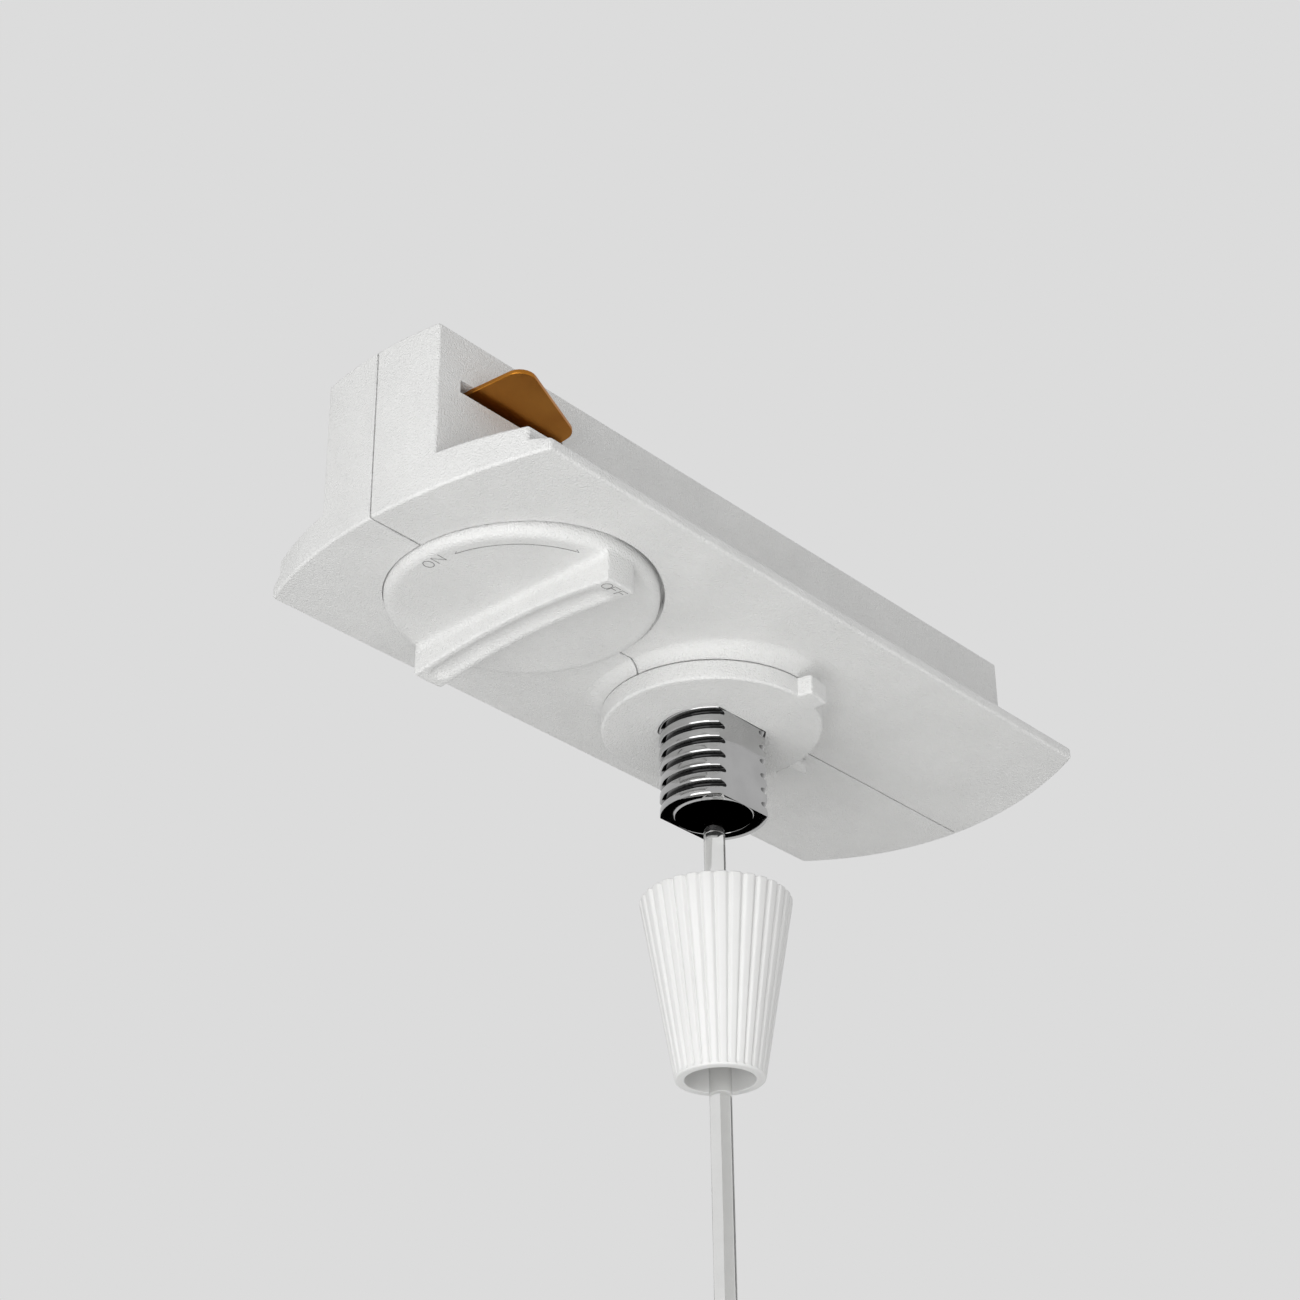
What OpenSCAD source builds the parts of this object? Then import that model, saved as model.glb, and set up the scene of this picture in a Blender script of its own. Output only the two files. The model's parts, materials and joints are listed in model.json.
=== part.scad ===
// Lighting track connector with a swivelling cord outlet, in millimetres.
// X runs along the track, Z points up into the track, Y points to the hidden side.
// The origin is on the centreline, at mid length, at the height of the seat on the track.

/* [Neck] */
// Width of the neck that enters the track
neck_w = 14.1; // [13.6:0.1:15.5]
// Height of the neck above the seat
neck_h = 13.55; // [13:0.05:16]
// Thickness of the neck's walls
neck_wall = 1.4; // [1.2:0.05:1.5]

/* [Flange] */
// Width of the flange under the track
flange_w = 34.6; // [32:0.1:40]
// Length of the flange's long edges, from corner to corner
flange_l = 74.7; // [74:0.1:84]
// How far each rounded end stands past its corners
end_bow = 4.05; // [2.5:0.05:5]
// Depth of the flange below the seat, at its long edges
flange_t = 2.78; // [2.7:0.02:3.4]
// How much deeper the underside is at the joint line
crown = 1.03; // [0.7:0.01:1.3]
// Width of the ledge along each long edge
ledge_w = 1.77; // [1:0.01:3]
// Step from the seat down to the ledge
ledge_step = 1.32; // [0.8:0.02:1.6]
// Slope of the ledge towards the long edge
ledge_slope = 0.27; // [0.1:0.01:0.4]
// Gap between the two half shells at the joint line
seam_gap = 0.16; // [0.08:0.02:0.2]

/* [Knob] */
// Distance of the knob's axis from the flange's nearest end
knob_end = 18.25; // [18.1:0.05:18.5]
// Diameter of the knob
knob_d = 24.56; // [22:0.02:25]
// Gap round the knob
knob_gap = 0.26; // [0.2:0.02:0.4]
// Height of the knob's face below the joint line
knob_proud = 0.87; // [0.5:0.01:1.5]
// Depth of the recess that holds the knob, from the joint line
recess_deep = 1.41; // [1.2:0.01:1.6]
// Rounding of the knob's rim
knob_round = 0.9; // [0.5:0.05:1]
// Width of the grip bar
bar_w = 3.4; // [2.8:0.1:4]
// Length of the grip bar over its round ends
bar_l = 24.2; // [20:0.1:24.4]
// Height of the grip bar's ends above the knob's face
bar_h = 2.85; // [2.4:0.05:4]
// How far the grip bar arches up between its ends
bar_arch = 0.95; // [0.5:0.05:1.2]
// Radius of the hollow where the grip bar meets the knob's face
flank_r = 0.6; // [0.3:0.05:1]
// Width of the groove along the grip bar
groove_w = 2.1; // [1.4:0.1:2.4]
// Depth of the groove along the grip bar
groove_deep = 0.5; // [0.3:0.05:0.8]

/* [Contacts] */
// Travel of each contact blade
stroke = 6; // [5.96:0.01:6]
// Reach of a contact blade past the neck when it is out
blade_reach = 5.4; // [5:0.05:5.9]
// Width of a contact blade at the neck
blade_w = 10.65; // [9.5:0.05:10.8]
// Thickness of a contact blade
blade_t = 0.45; // [0.3:0.05:0.6]
// Height of a blade's middle above the seat
blade_z = 8.45; // [8.2:0.05:8.6]
// Height of the slot that a blade comes out of
slot_h = 1.28; // [1.1:0.02:1.4]

/* [Cord outlet] */
// Place of the cord's axis along the track
cord_x = 2.35; // [1.5:0.05:2.6]
// Diameter of the swivel collar
collar_d = 20.92; // [19:0.02:21.4]
// Thickness of the swivel collar
collar_t = 1.95; // [1.6:0.05:2.4]
// Height of the raised ring that the collar turns on
ring_h = 1.27; // [1:0.01:1.5]
// Outer diameter of the threaded nipple
nipple_d = 10; // [9.6:0.05:10]
// Width across the nipple's two flats
nipple_flats = 7.44; // [7:0.02:8]
// Bore of the nipple
nipple_bore = 7.2; // [6.8:0.05:7.2]
// Length of the nipple below the collar
nipple_l = 8.93; // [8:0.01:10]
// Pitch of the nipple's thread
thread_pitch = 1.5; // [1.25:0.05:1.75]

/* [Ribbed cone] */
// Diameter of the cone at its wide end
cone_d = 14.02; // [13.8:0.02:15]
// Diameter of the cone at its narrow end
cone_tip_d = 8.06; // [7.8:0.02:9]
// Length of the cone
cone_l = 17.09; // [16:0.01:20]
// Number of ribs round the cone
rib_count = 32; // [24:1:36]
// Depth of the valleys between the ribs
rib_deep = 0.3; // [0.15:0.01:0.35]
// Distance from the nipple down to the cone
cone_drop = 8.64; // [6:0.01:12]
// Bore of the cone's narrow end
cone_bore = 6.34; // [6:0.02:6.6]
// Depth of the cone's threaded socket
socket_l = 6.5; // [5.5:0.05:6.5]

/* [Cord] */
// Diameter of the cord
cord_d = 2; // [1.8:0.05:2.2]

/* [Hidden] */

// Smoothness of small and large curves
fine = 64;
round_fn = 180;
// Overlap that a cut runs past a face, and overlap of two solids that make one piece
eps = 0.5;
merge = 0.1;
// Clearance of parts that turn or slide in each other, and of parts that pass each other
run_gap = 0.08;
turn_gap = 0.15;
slide_gap = 0.1;
pass_gap = 0.3;
// Clearance round a fixed piece
fixed_gap = 0.03;

// Levels of the housing
joint_z = -flange_t - crown;
floor_z = joint_z + recess_deep;
roof_z = neck_h - neck_wall;
floor_t = 1.4;
deck_z = floor_z + floor_t;
half_l = flange_l / 2 + end_bow;
end_r = (pow(flange_w / 2, 2) + pow(end_bow, 2)) / (2 * end_bow);
crown_r = (pow(flange_w / 2, 2) + pow(crown, 2)) / (2 * crown);
inner_y = neck_w / 2 - neck_wall;
end_wall = 3.8;
cavity_x = half_l - end_wall;

// Knob and crank
knob_x = -half_l + knob_end;
knob_r = knob_d / 2;
knob_face_z = joint_z - knob_proud;
knob_top_z = floor_z - turn_gap;
// The recess sits a little off the knob's axis, so the gap is widest on one side
recess_off = [0.12, -0.08];
recess_r = knob_r + knob_gap;
// The grip bar's ends stop just inside the knob's rim, and its groove ends further in.
// The groove's front end leaves room for the lettering.
bar_inset = 0.1;
groove_front = 1.9;
groove_rear = 1;
hub_r = 4;
key_r = 2.4;
key_flats = 3.4;
// Clearance round the crank disc, up to the walls, the spring and the sliders' tines
disc_gap = 0.35;
disc_r = inner_y - disc_gap;
disc_bottom_z = deck_z + turn_gap;
disc_t = 1.6;
disc_top_z = disc_bottom_z + disc_t;
pin_r = 0.9;
pin_l = 3.2;
// The pin swings 45 degrees to each side of the X axis, so the travel is its chord
pin_circle_r = stroke / sqrt(2);
pin_top_z = disc_top_z + pin_l;
notch_r = 0.75;
screw_hole_r = 0.8;
knob_screw_head_r = 1.7;
knob_screw_head_t = 1;
// Depth of the plastic that stays under the knob's screw hole, and under the screw's tip
hole_skin = 0.6;
tip_skin = 1;

// Sliders and blades, drawn for the front one in its place when it is out
slider_y0 = -inner_y + pass_gap;
slider_y1 = inner_y - pass_gap - stroke;
slider_x0 = -cavity_x + pass_gap;
blade_inset = 0.7;
blade_x0 = slider_x0 + blade_inset;
blade_x1 = blade_x0 + blade_w;
blade_tip_y = -neck_w / 2 - blade_reach;
blade_slant = 2.86;
blade_round = 1.5;
// The blade's far edge leans in past the neck
blade_lean = 0.35;
// The blade runs close under the slot's top, with the spare height below it
slot_top_z = blade_z + blade_t / 2 + slide_gap;
slot_bottom_z = slot_top_z - slot_h;
slider_deck_t = 1;
tine_z0 = disc_top_z + disc_gap;
tine_z1 = pin_top_z - slide_gap;
tine_end = 2.05;
tine_x1 = knob_x - tine_end;
yoke_gap = 0.18;
yoke_half = pin_r + yoke_gap;
yoke_back = 0.2;
yoke_x = knob_x - pin_circle_r - pin_r - yoke_back;
body_x1 = knob_x - disc_r - pass_gap - turn_gap;
// Leaf spring beside the disc, and the rests that hold its ends
spring_t = 0.3;
spring_x = knob_x + disc_r + disc_gap;
spring_rest_l = 1.5;
spring_foot_l = 3.05;
spring_end_l = 1.65;
bump_r = 0.7;
bump_x = 0.38;
// The slider's foot stops short of the spring's rests, which the rear slider passes
foot_x1 = 2 * knob_x - spring_x - spring_rest_l - pass_gap;
slot_past = 0.45;
slot_spare = 0.5;
slot_x0 = -cavity_x - slot_past;
slot_x1 = blade_x1 + slot_spare;
rivet_r = 0.7;
rivet_l = 1.8;
rivet_head_r = 1.1;
rivet_head_t = 0.35;
rivet_inset = 1.5;
rivet_y = slider_y1 - rivet_inset;
rivet_dx = 3;
blade_mid_x = (blade_x0 + blade_x1) / 2;

// Strips and terminals
strip_t = 0.5;
strip_w = 2.4;
strip_lift = 1.2;
strip_z = blade_z + blade_t / 2 + strip_lift;
wiper_r = 0.6;
wiper_l = 2.6;
wiper_gap = 0.05;
term_off = 10.8;
term_x = cord_x + term_off;
term_l = 6;
term_w = 4;
term_h = 4;
term_gap = 0.45;
strip_y = inner_y - term_gap - term_w / 2;
term_z = strip_z - term_h;
wire_lift = 1.9;
wire_z = term_z + wire_lift;
wire_r = 0.8;
shelf_inset = 0.5;
shelf_t = 2;
// Rests under the strips, on both sides of the cord
rest_l = 2;
rest_t = 1.2;
rest_places = [cord_x - 8.5, cord_x + 4];
term_screw_r = 1.1;
term_head_r = 1.8;
term_head_t = 1.2;
clamp_gap = 0.02;
driver_w = 0.5;
driver_deep = 0.6;

// Housing screws, dowels and ribs
screw_r = 0.9;
screw_head_r = 1.9;
screw_head_t = 1.1;
screw_edge = 0.15;
screw_tip = 1.2;
cross_reach = 1.1;
cross_deep = 0.6;
cross_w = 0.4;
post_r = 2.2;
low_screw_z = 4.6;
high_screw_z = 8.2;
// The first post stands just past the rear slider, the last one near the other end
first_screw_gap = 0.4;
mid_screw_off = 5;
last_screw_gap = 0.85;
first_screw_x = 2 * knob_x - slider_x0 + first_screw_gap + post_r;
mid_screw_x = term_x + term_l + mid_screw_off;
last_screw_x = cavity_x - last_screw_gap - post_r;
screw_places = [[first_screw_x, low_screw_z], [mid_screw_x, low_screw_z],
                [last_screw_x, high_screw_z]];
dowel_r = 1;
dowel_l = 1.6;
dowel_wall = 0.8;
dowel_inset = 2.1;
mid_dowel_z = 10;
low_dowel_z = 3.2;
high_dowel_z = 11.2;
dowel_places = [[(mid_screw_x + last_screw_x) / 2, mid_dowel_z],
                [-half_l + dowel_inset, high_dowel_z], [-half_l + dowel_inset, low_dowel_z]];

// Swivel
ring_z = joint_z - ring_h;
ring_inset = 0.05;
ring_r = collar_d / 2 - ring_inset;
ring_fillet = 1.35;
collar_gap = 0.12;
collar_top_z = ring_z - collar_gap;
collar_z = collar_top_z - collar_t;
collar_edge = 0.25;
spigot_r = 6.2;
keep_r = 7.5;
keep_t = 1.3;
washer_t = 0.3;
washer_over = 0.1;
pocket_floor_t = 1.5;
pocket_z = ring_z + pocket_floor_t;
washer_z = pocket_z;
keep_z = washer_z + washer_t;
pocket_top_z = keep_z + keep_t + turn_gap;
lug_angle = -81;
lug_w = 3;
lug_out = 1.29;
lug_root = 2;
// Stop nub: a block with a shallower step that runs in towards the collar, where the lug meets it
nub_in = 2.29;
nub_l = 2.35;
nub_y = [0.8, 2.75];
nub_h = 1.79;
nub_step_h = 1.6;
nub_gap = 0.3;
step_x = cord_x + collar_d / 2 + nub_gap;
nub_x0 = cord_x + collar_d / 2 + nub_in;
nub_z = joint_z - nub_h;
step_z = joint_z - nub_step_h;

// Nipple, grip and cone
nipple_r = nipple_d / 2;
nipple_z = collar_z - nipple_l;
key_gap = 0.12;
nipple_head_r = inner_y - turn_gap;
nipple_head_t = 1.4;
nipple_head_z = keep_z + keep_t;
thread_w = 0.75;
thread_deep = 0.55;
thread_root_w = 0.25;
thread_start = 1.1;
thread_stop = 0.9;
thread_first_z = nipple_z + thread_start;
thread_count = floor((nipple_l - thread_stop) / thread_pitch) + 1;
nipple_edge = 0.3;
cone_top_z = nipple_z - cone_drop;
cone_z = cone_top_z - cone_l;
cone_rim = 0.7;
cone_edge_w = 0.25;
cone_edge_h = 0.2;
socket_r = nipple_r + run_gap;
seat_z = cone_top_z - socket_l;
grip_flange_t = 0.8;
grip_flange_r = socket_r - turn_gap;
grip_nose_r = nipple_bore / 2 - pass_gap;
grip_nose_l = 3;
grip_taper = 0.8;
grip_slot = 0.5;
grip_root = 0.4;

// Cord: a straight hanging length, from above the nipple to just outside the picture
cord_top_z = 1.5;
cord_below = 22.19;
cord_steps = 14;
cord_end_z = cone_z - cord_below;
cord_points = [for (i = [0 : cord_steps])
               [cord_x, 0, cord_top_z + (cord_end_z - cord_top_z) * i / cord_steps]];
tail_r = 0.4;
tail_spread = 0.45;
tail_l = 5;
ferrule_r = 0.3;
ferrule_l = 3;
core_r = 0.4;
core_lift = 0.3;
core_apart = 0.2;
core_start = [cord_x, core_r + core_apart / 2, cord_top_z + core_lift];
core_run = [8.6, strip_y - core_start[1], wire_z - core_start[2]];
// Shares of the run in X, Y and Z, from the cord's end to the terminal's height
core_shape = [[0, 0, 0], [0.02, 0.04, 0.2], [0.14, 0.19, 0.47], [0.4, 0.52, 0.74],
              [0.72, 0.85, 0.93], [1, 1, 1]];
core_points = concat([for (c = core_shape) core_start + [for (i = [0 : 2]) c[i] * core_run[i]]],
                     [[term_x, strip_y, wire_z], [term_x + term_l / 2, strip_y, wire_z]]);

// Runs a shape's profile, drawn as [y, z], along X
module along_x(x0, x1) {
    translate([x0, 0, 0])
        rotate([90, 0, 90])
            linear_extrude(height = x1 - x0)
                children();
}

// Puts a cylinder on an axis that runs along Y
module along_y(x, z, y0, y1, r, n = fine) {
    translate([x, y0, z])
        rotate([-90, 0, 0])
            cylinder(h = y1 - y0, r = r, $fn = n);
}

// Box between two corners
module block(low, high) {
    translate(low)
        cube(high - low);
}

// Keeps a copy of what is drawn for the front contact, half a turn about the knob's axis
module rear_side() {
    translate([2 * knob_x, 0, 0])
        rotate([0, 0, 180])
            children();
}

// Round tube along a list of points, as one polyhedron
function side(a) = a / norm(a);
function way(p, i) = side(p[min(i + 1, len(p) - 1)] - p[max(i - 1, 0)]);
function across(d) = side(cross(d, abs(d[0]) > 0.9 ? [0, 1, 0] : [1, 0, 0]));
function ring(p, i, r, n) = let (d = way(p, i), u = across(d), v = cross(d, u))
    [for (k = [0 : n - 1]) p[i] + r * (cos(360 * k / n) * u + sin(360 * k / n) * v)];
module tube(points, r, n = 8) {
    rings = len(points);
    corners = [for (i = [0 : rings - 1]) for (c = ring(points, i, r, n)) c];
    walls = [for (i = [0 : rings - 2]) for (k = [0 : n - 1])
             [i * n + k, (i + 1) * n + k, (i + 1) * n + (k + 1) % n, i * n + (k + 1) % n]];
    start = [for (k = [0 : n - 1]) k];
    finish = [for (k = [n - 1 : -1 : 0]) (rings - 1) * n + k];
    polyhedron(points = corners, faces = concat(walls, [start], [finish]), convexity = 4);
}

// Section of the neck and flange
module section() {
    half = flange_w / 2;
    polygon([[-neck_w / 2, neck_h], [neck_w / 2, neck_h], [neck_w / 2, 0],
             [half - ledge_w, 0], [half - ledge_w, -ledge_step],
             [half, -ledge_step - ledge_slope], [half, joint_z - eps],
             [-half, joint_z - eps], [-half, -ledge_step - ledge_slope],
             [-half + ledge_w, -ledge_step], [-half + ledge_w, 0], [-neck_w / 2, 0]]);
}

// One rounded end of the plan, as a lens that the long sides run into
module end_lens(s, z0, z1) {
    translate([s * (half_l - end_r), 0, z0])
        cylinder(h = z1 - z0, r = end_r, $fn = round_fn);
}

// Outer form of both half shells together, before the hollows
module housing_blank() {
    z0 = joint_z - 2 * eps;
    z1 = neck_h + 2 * eps;
    intersection() {
        along_x(-half_l - eps, half_l + eps)
            section();
        translate([-half_l - eps, 0, joint_z + crown_r])
            rotate([0, 90, 0])
                cylinder(h = 2 * half_l + 2 * eps, r = crown_r, $fn = 720);
        union() {
            block([-flange_l / 2, -flange_w, z0], [flange_l / 2, flange_w, z1]);
            intersection() {
                end_lens(1, z0, z1);
                block([0, -flange_w, z0 - 1], [half_l + 1, flange_w, z1 + 1]);
            }
            intersection() {
                end_lens(-1, z0, z1);
                block([-half_l - 1, -flange_w, z0 - 1], [0, flange_w, z1 + 1]);
            }
        }
    }
    swivel_ring();
    block([step_x, nub_y[0], step_z], [nub_x0 + merge, nub_y[1], -ledge_step]);
    block([nub_x0, nub_y[0], nub_z], [nub_x0 + nub_l, nub_y[1], -ledge_step]);
}

// Raised ring that the collar turns on, with a hollow flare into the underside
module swivel_ring() {
    foot_r = ring_r + ring_fillet;
    translate([cord_x, 0, 0])
        difference() {
            translate([0, 0, ring_z])
                cylinder(h = -ledge_step - ring_z, r = foot_r, $fn = round_fn);
            rotate_extrude($fn = round_fn)
                translate([foot_r, ring_z])
                    circle(r = ring_fillet, $fn = fine);
        }
}

// Room for the crank, the sliders, the terminals and the cores
module hollow() {
    block([-cavity_x, -inner_y, deck_z], [cavity_x, inner_y, roof_z]);
    translate([cord_x, 0, pocket_top_z - eps])
        cylinder(h = deck_z - pocket_top_z + 2 * eps, r = inner_y, $fn = round_fn);
    translate([cord_x, 0, pocket_z])
        cylinder(h = pocket_top_z - pocket_z, r = keep_r + pass_gap, $fn = round_fn);
    translate([cord_x, 0, ring_z - eps])
        cylinder(h = pocket_z - ring_z + 2 * eps, r = spigot_r + run_gap, $fn = round_fn);
    translate([knob_x + recess_off[0], recess_off[1], joint_z - 2])
        cylinder(h = floor_z - joint_z + 2, r = recess_r, $fn = round_fn);
    translate([knob_x, 0, floor_z - eps])
        cylinder(h = floor_t + 2 * eps, r = hub_r + run_gap, $fn = fine);
    blade_slot();
    rear_side()
        blade_slot();
}

// Slot in the neck's wall for the front blade
module blade_slot() {
    block([slot_x0, -neck_w / 2 - eps, slot_bottom_z],
          [slot_x1, -inner_y + eps, slot_top_z]);
}

// Posts, shelf, strip rests and spring rests inside one half shell, for side -1 or 1
module inner_ribs(s) {
    wall_y = s * (inner_y + eps);
    for (p = screw_places)
        along_y(p[0], p[1], min(0, wall_y), max(0, wall_y), post_r);
    for (p = dowel_places)
        if (p[0] > -cavity_x)
            along_y(p[0], p[1], min(0, wall_y), max(0, wall_y), dowel_r + dowel_wall);
    // Shelf under the terminal block
    rib(s, term_x + shelf_inset, term_x + term_l - shelf_inset, term_z - shelf_t, term_z,
        strip_y - term_w / 2);
    for (x = rest_places)
        rib(s, x, x + rest_l, strip_z - rest_t, strip_z, strip_y - strip_w / 2);
    // Rest that holds one end of the detent spring
    rib(s, spring_x - spring_t, spring_x + spring_rest_l, deck_z - eps, disc_bottom_z,
        inner_y - spring_foot_l);
    rib(s, spring_x + spring_t, spring_x + spring_rest_l, deck_z - eps, disc_top_z,
        inner_y - spring_end_l);
}

// Rib from the neck's inner wall towards the middle
module rib(s, x0, x1, z0, z1, y_in) {
    block([x0, min(s * y_in, s * (inner_y + eps)), z0],
          [x1, max(s * y_in, s * (inner_y + eps)), z1]);
}

// Half shell on side s, hollow, with its ribs and the screw holes
module half_shell(s) {
    y_near = s * seam_gap / 2;
    y_far = s * flange_w;
    difference() {
        intersection() {
            union() {
                difference() {
                    housing_blank();
                    hollow();
                }
                inner_ribs(s);
            }
            block([-half_l - 2, min(y_near, y_far), nub_z - 2],
                  [half_l + 2, max(y_near, y_far), neck_h + 2]);
        }
        for (p = screw_places)
            housing_screw(p, fixed_gap);
        if (s > 0)
            for (p = dowel_places)
                along_y(p[0], p[1], -eps, dowel_l + pass_gap, dowel_r + fixed_gap);
    }
    if (s < 0)
        for (p = dowel_places)
            along_y(p[0], p[1], -seam_gap, dowel_l, dowel_r);
}

// Countersunk self-tapping screw, from the rear shell's neck into the front shell
module housing_screw(p, gap = 0) {
    face_y = neck_w / 2;
    tip_y = -inner_y + screw_tip;
    head_r = screw_head_r + gap;
    along_y(p[0], p[1], tip_y - gap, face_y + gap, screw_r + gap);
    translate([p[0], face_y, p[1]])
        rotate([90, 0, 0])
            rotate_extrude($fn = fine)
                polygon([[0, -gap], [head_r, -gap], [head_r, screw_edge - gap],
                         [screw_r + gap, screw_head_t], [0, screw_head_t]]);
}

module housing_front() {
    color("whitesmoke")
        half_shell(-1);
}

module housing_rear() {
    color("white")
        half_shell(1);
}

module housing_screws() {
    color("silver")
        for (p = screw_places)
            difference() {
                housing_screw(p);
                cross_slot([p[0], neck_w / 2, p[1]]);
            }
}

// Cross recess in a screw head that faces +Y
module cross_slot(at) {
    for (turn = [0, 90])
        translate(at)
            rotate([0, turn, 0])
                cube([2 * cross_reach, 2 * cross_deep, cross_w], center = true);
}

// Disc of the knob, with a rounded rim on its visible face
module knob_disc() {
    t = knob_top_z - knob_face_z;
    translate([0, 0, knob_face_z])
        rotate_extrude($fn = round_fn) {
            square([knob_r - knob_round, t]);
            translate([0, knob_round])
                square([knob_r, t - knob_round]);
            translate([knob_r - knob_round, knob_round])
                intersection() {
                    circle(r = knob_round, $fn = fine);
                    translate([-knob_round, -knob_round])
                        square([2 * knob_round, 2 * knob_round]);
                }
        }
}

// Hollow on both sides of the grip bar's foot, which runs out before the knob's rim
module bar_foot() {
    foot_w = bar_w / 2 + flank_r;
    run_out_r = knob_r - knob_round / 2;
    intersection() {
        translate([0, bar_l / 2, 0])
            rotate([90, 0, 0])
                linear_extrude(height = bar_l)
                    difference() {
                        translate([-foot_w, knob_face_z - flank_r])
                            square([2 * foot_w, flank_r + merge]);
                        for (s = [-1, 1])
                            translate([s * foot_w, knob_face_z - flank_r])
                                circle(r = flank_r, $fn = fine);
                    }
        translate([0, 0, knob_face_z - flank_r - merge])
            cylinder(h = flank_r + 2 * merge, r1 = run_out_r - flank_r - 2 * merge, r2 = run_out_r,
                     $fn = round_fn);
    }
}

// Grip bar: flat flanks, round ends just inside the knob's rim, an arched underside and a groove
module grip_bar() {
    end_r = min(bar_l / 2, knob_r - bar_inset);
    bar_z = knob_face_z - bar_h;
    arch_r = (pow(end_r, 2) + pow(bar_arch, 2)) / (2 * bar_arch);
    arch_z = bar_z + bar_arch - arch_r;
    difference() {
        union() {
            intersection() {
                block([-bar_w / 2, -end_r, bar_z], [bar_w / 2, end_r, knob_face_z + knob_round - merge]);
                translate([0, 0, bar_z - 1])
                    cylinder(h = bar_h + knob_round + 1, r = end_r, $fn = round_fn);
            }
            bar_foot();
        }
        translate([-bar_w, 0, arch_z])
            rotate([0, 90, 0])
                cylinder(h = 2 * bar_w, r = arch_r, $fn = 720);
        bar_groove(end_r, arch_r, arch_z);
    }
}

// Groove that follows the grip bar's arch, with round ends
module bar_groove(end_r, arch_r, arch_z) {
    groove_r = (pow(groove_w / 2, 2) + pow(groove_deep, 2)) / (2 * groove_deep);
    track_r = arch_r + groove_deep - groove_r;
    front_y = -end_r + groove_front + groove_w / 2;
    rear_y = end_r - groove_rear - groove_w / 2;
    intersection() {
        translate([0, 0, arch_z])
            rotate([0, 90, 0])
                rotate_extrude($fn = 720)
                    translate([track_r, 0])
                        circle(r = groove_r, $fn = fine);
        block([-groove_r - 1, front_y, arch_z], [groove_r + 1, rear_y, arch_z + arch_r + 2 * groove_r]);
    }
    for (y = [front_y, rear_y])
        translate([0, y, arch_z + sqrt(pow(track_r, 2) - pow(y, 2))])
            sphere(r = groove_r, $fn = fine);
}

// Knob: disc, grip bar, hub through the floor and the flatted key for the crank disc
module lock_knob() {
    color("white")
        translate([knob_x, 0, 0])
            difference() {
                union() {
                    knob_disc();
                    grip_bar();
                    translate([0, 0, knob_top_z - merge])
                        cylinder(h = disc_bottom_z - knob_top_z + merge, r = hub_r, $fn = fine);
                    knob_key(0, disc_bottom_z - merge, disc_top_z - knob_screw_head_t - slide_gap);
                }
                translate([0, 0, knob_face_z + hole_skin])
                    cylinder(h = disc_top_z - knob_face_z, r = screw_hole_r + fixed_gap, $fn = fine);
            }
}

// Key with two flats that turns the crank disc
module knob_key(gap, z0, z1) {
    intersection() {
        translate([0, 0, z0])
            cylinder(h = z1 - z0, r = key_r + gap, $fn = fine);
        block([-key_flats / 2 - gap, -key_r - 1, z0 - 1], [key_flats / 2 + gap, key_r + 1, z1 + 1]);
    }
}

// Disc above the floor with two crank pins and two detent notches
module crank_disc() {
    color("dimgray")
        translate([knob_x, 0, 0])
            difference() {
                union() {
                    translate([0, 0, disc_bottom_z])
                        cylinder(h = disc_t, r = disc_r, $fn = round_fn);
                    for (a = [45, 225])
                        rotate([0, 0, a])
                            translate([pin_circle_r, 0, disc_top_z - merge])
                                cylinder(h = pin_l + merge, r = pin_r, $fn = fine);
                }
                knob_key(fixed_gap, disc_bottom_z - 1, disc_top_z - knob_screw_head_t - slide_gap);
                translate([0, 0, disc_bottom_z - 1])
                    cylinder(h = disc_t + 2, r = screw_hole_r + 2 * fixed_gap, $fn = fine);
                translate([0, 0, disc_top_z - knob_screw_head_t])
                    cylinder(h = 3, r = knob_screw_head_r + fixed_gap, $fn = fine);
                for (a = [0, 90])
                    rotate([0, 0, a])
                        translate([disc_r + disc_gap, 0, disc_bottom_z - 1])
                            cylinder(h = disc_t + 2, r = notch_r, $fn = fine);
            }
}

// Screw that holds the crank disc to the knob
module knob_screw() {
    color("silver")
        translate([knob_x, 0, 0])
            difference() {
                union() {
                    translate([0, 0, knob_face_z + tip_skin])
                        cylinder(h = disc_top_z - knob_screw_head_t - knob_face_z - tip_skin + merge,
                                 r = screw_hole_r, $fn = fine);
                    translate([0, 0, disc_top_z - knob_screw_head_t])
                        cylinder(h = knob_screw_head_t, r = knob_screw_head_r, $fn = fine);
                }
                translate([0, 0, disc_top_z])
                    rotate([90, 0, 0])
                        cross_slot([0, 0, 0]);
            }
}

// Leaf spring beside the crank disc, with a bump that clicks into its notches
module detent_spring() {
    half_y = inner_y - pass_gap;
    color("lightsteelblue")
        translate([spring_x, 0, disc_bottom_z]) {
            block([0, -half_y, 0], [spring_t, half_y, disc_t]);
            intersection() {
                translate([bump_x, 0, 0])
                    cylinder(h = disc_t, r = bump_r, $fn = fine);
                block([-bump_r, -bump_r, 0], [merge, bump_r, disc_t]);
            }
        }
}

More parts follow.
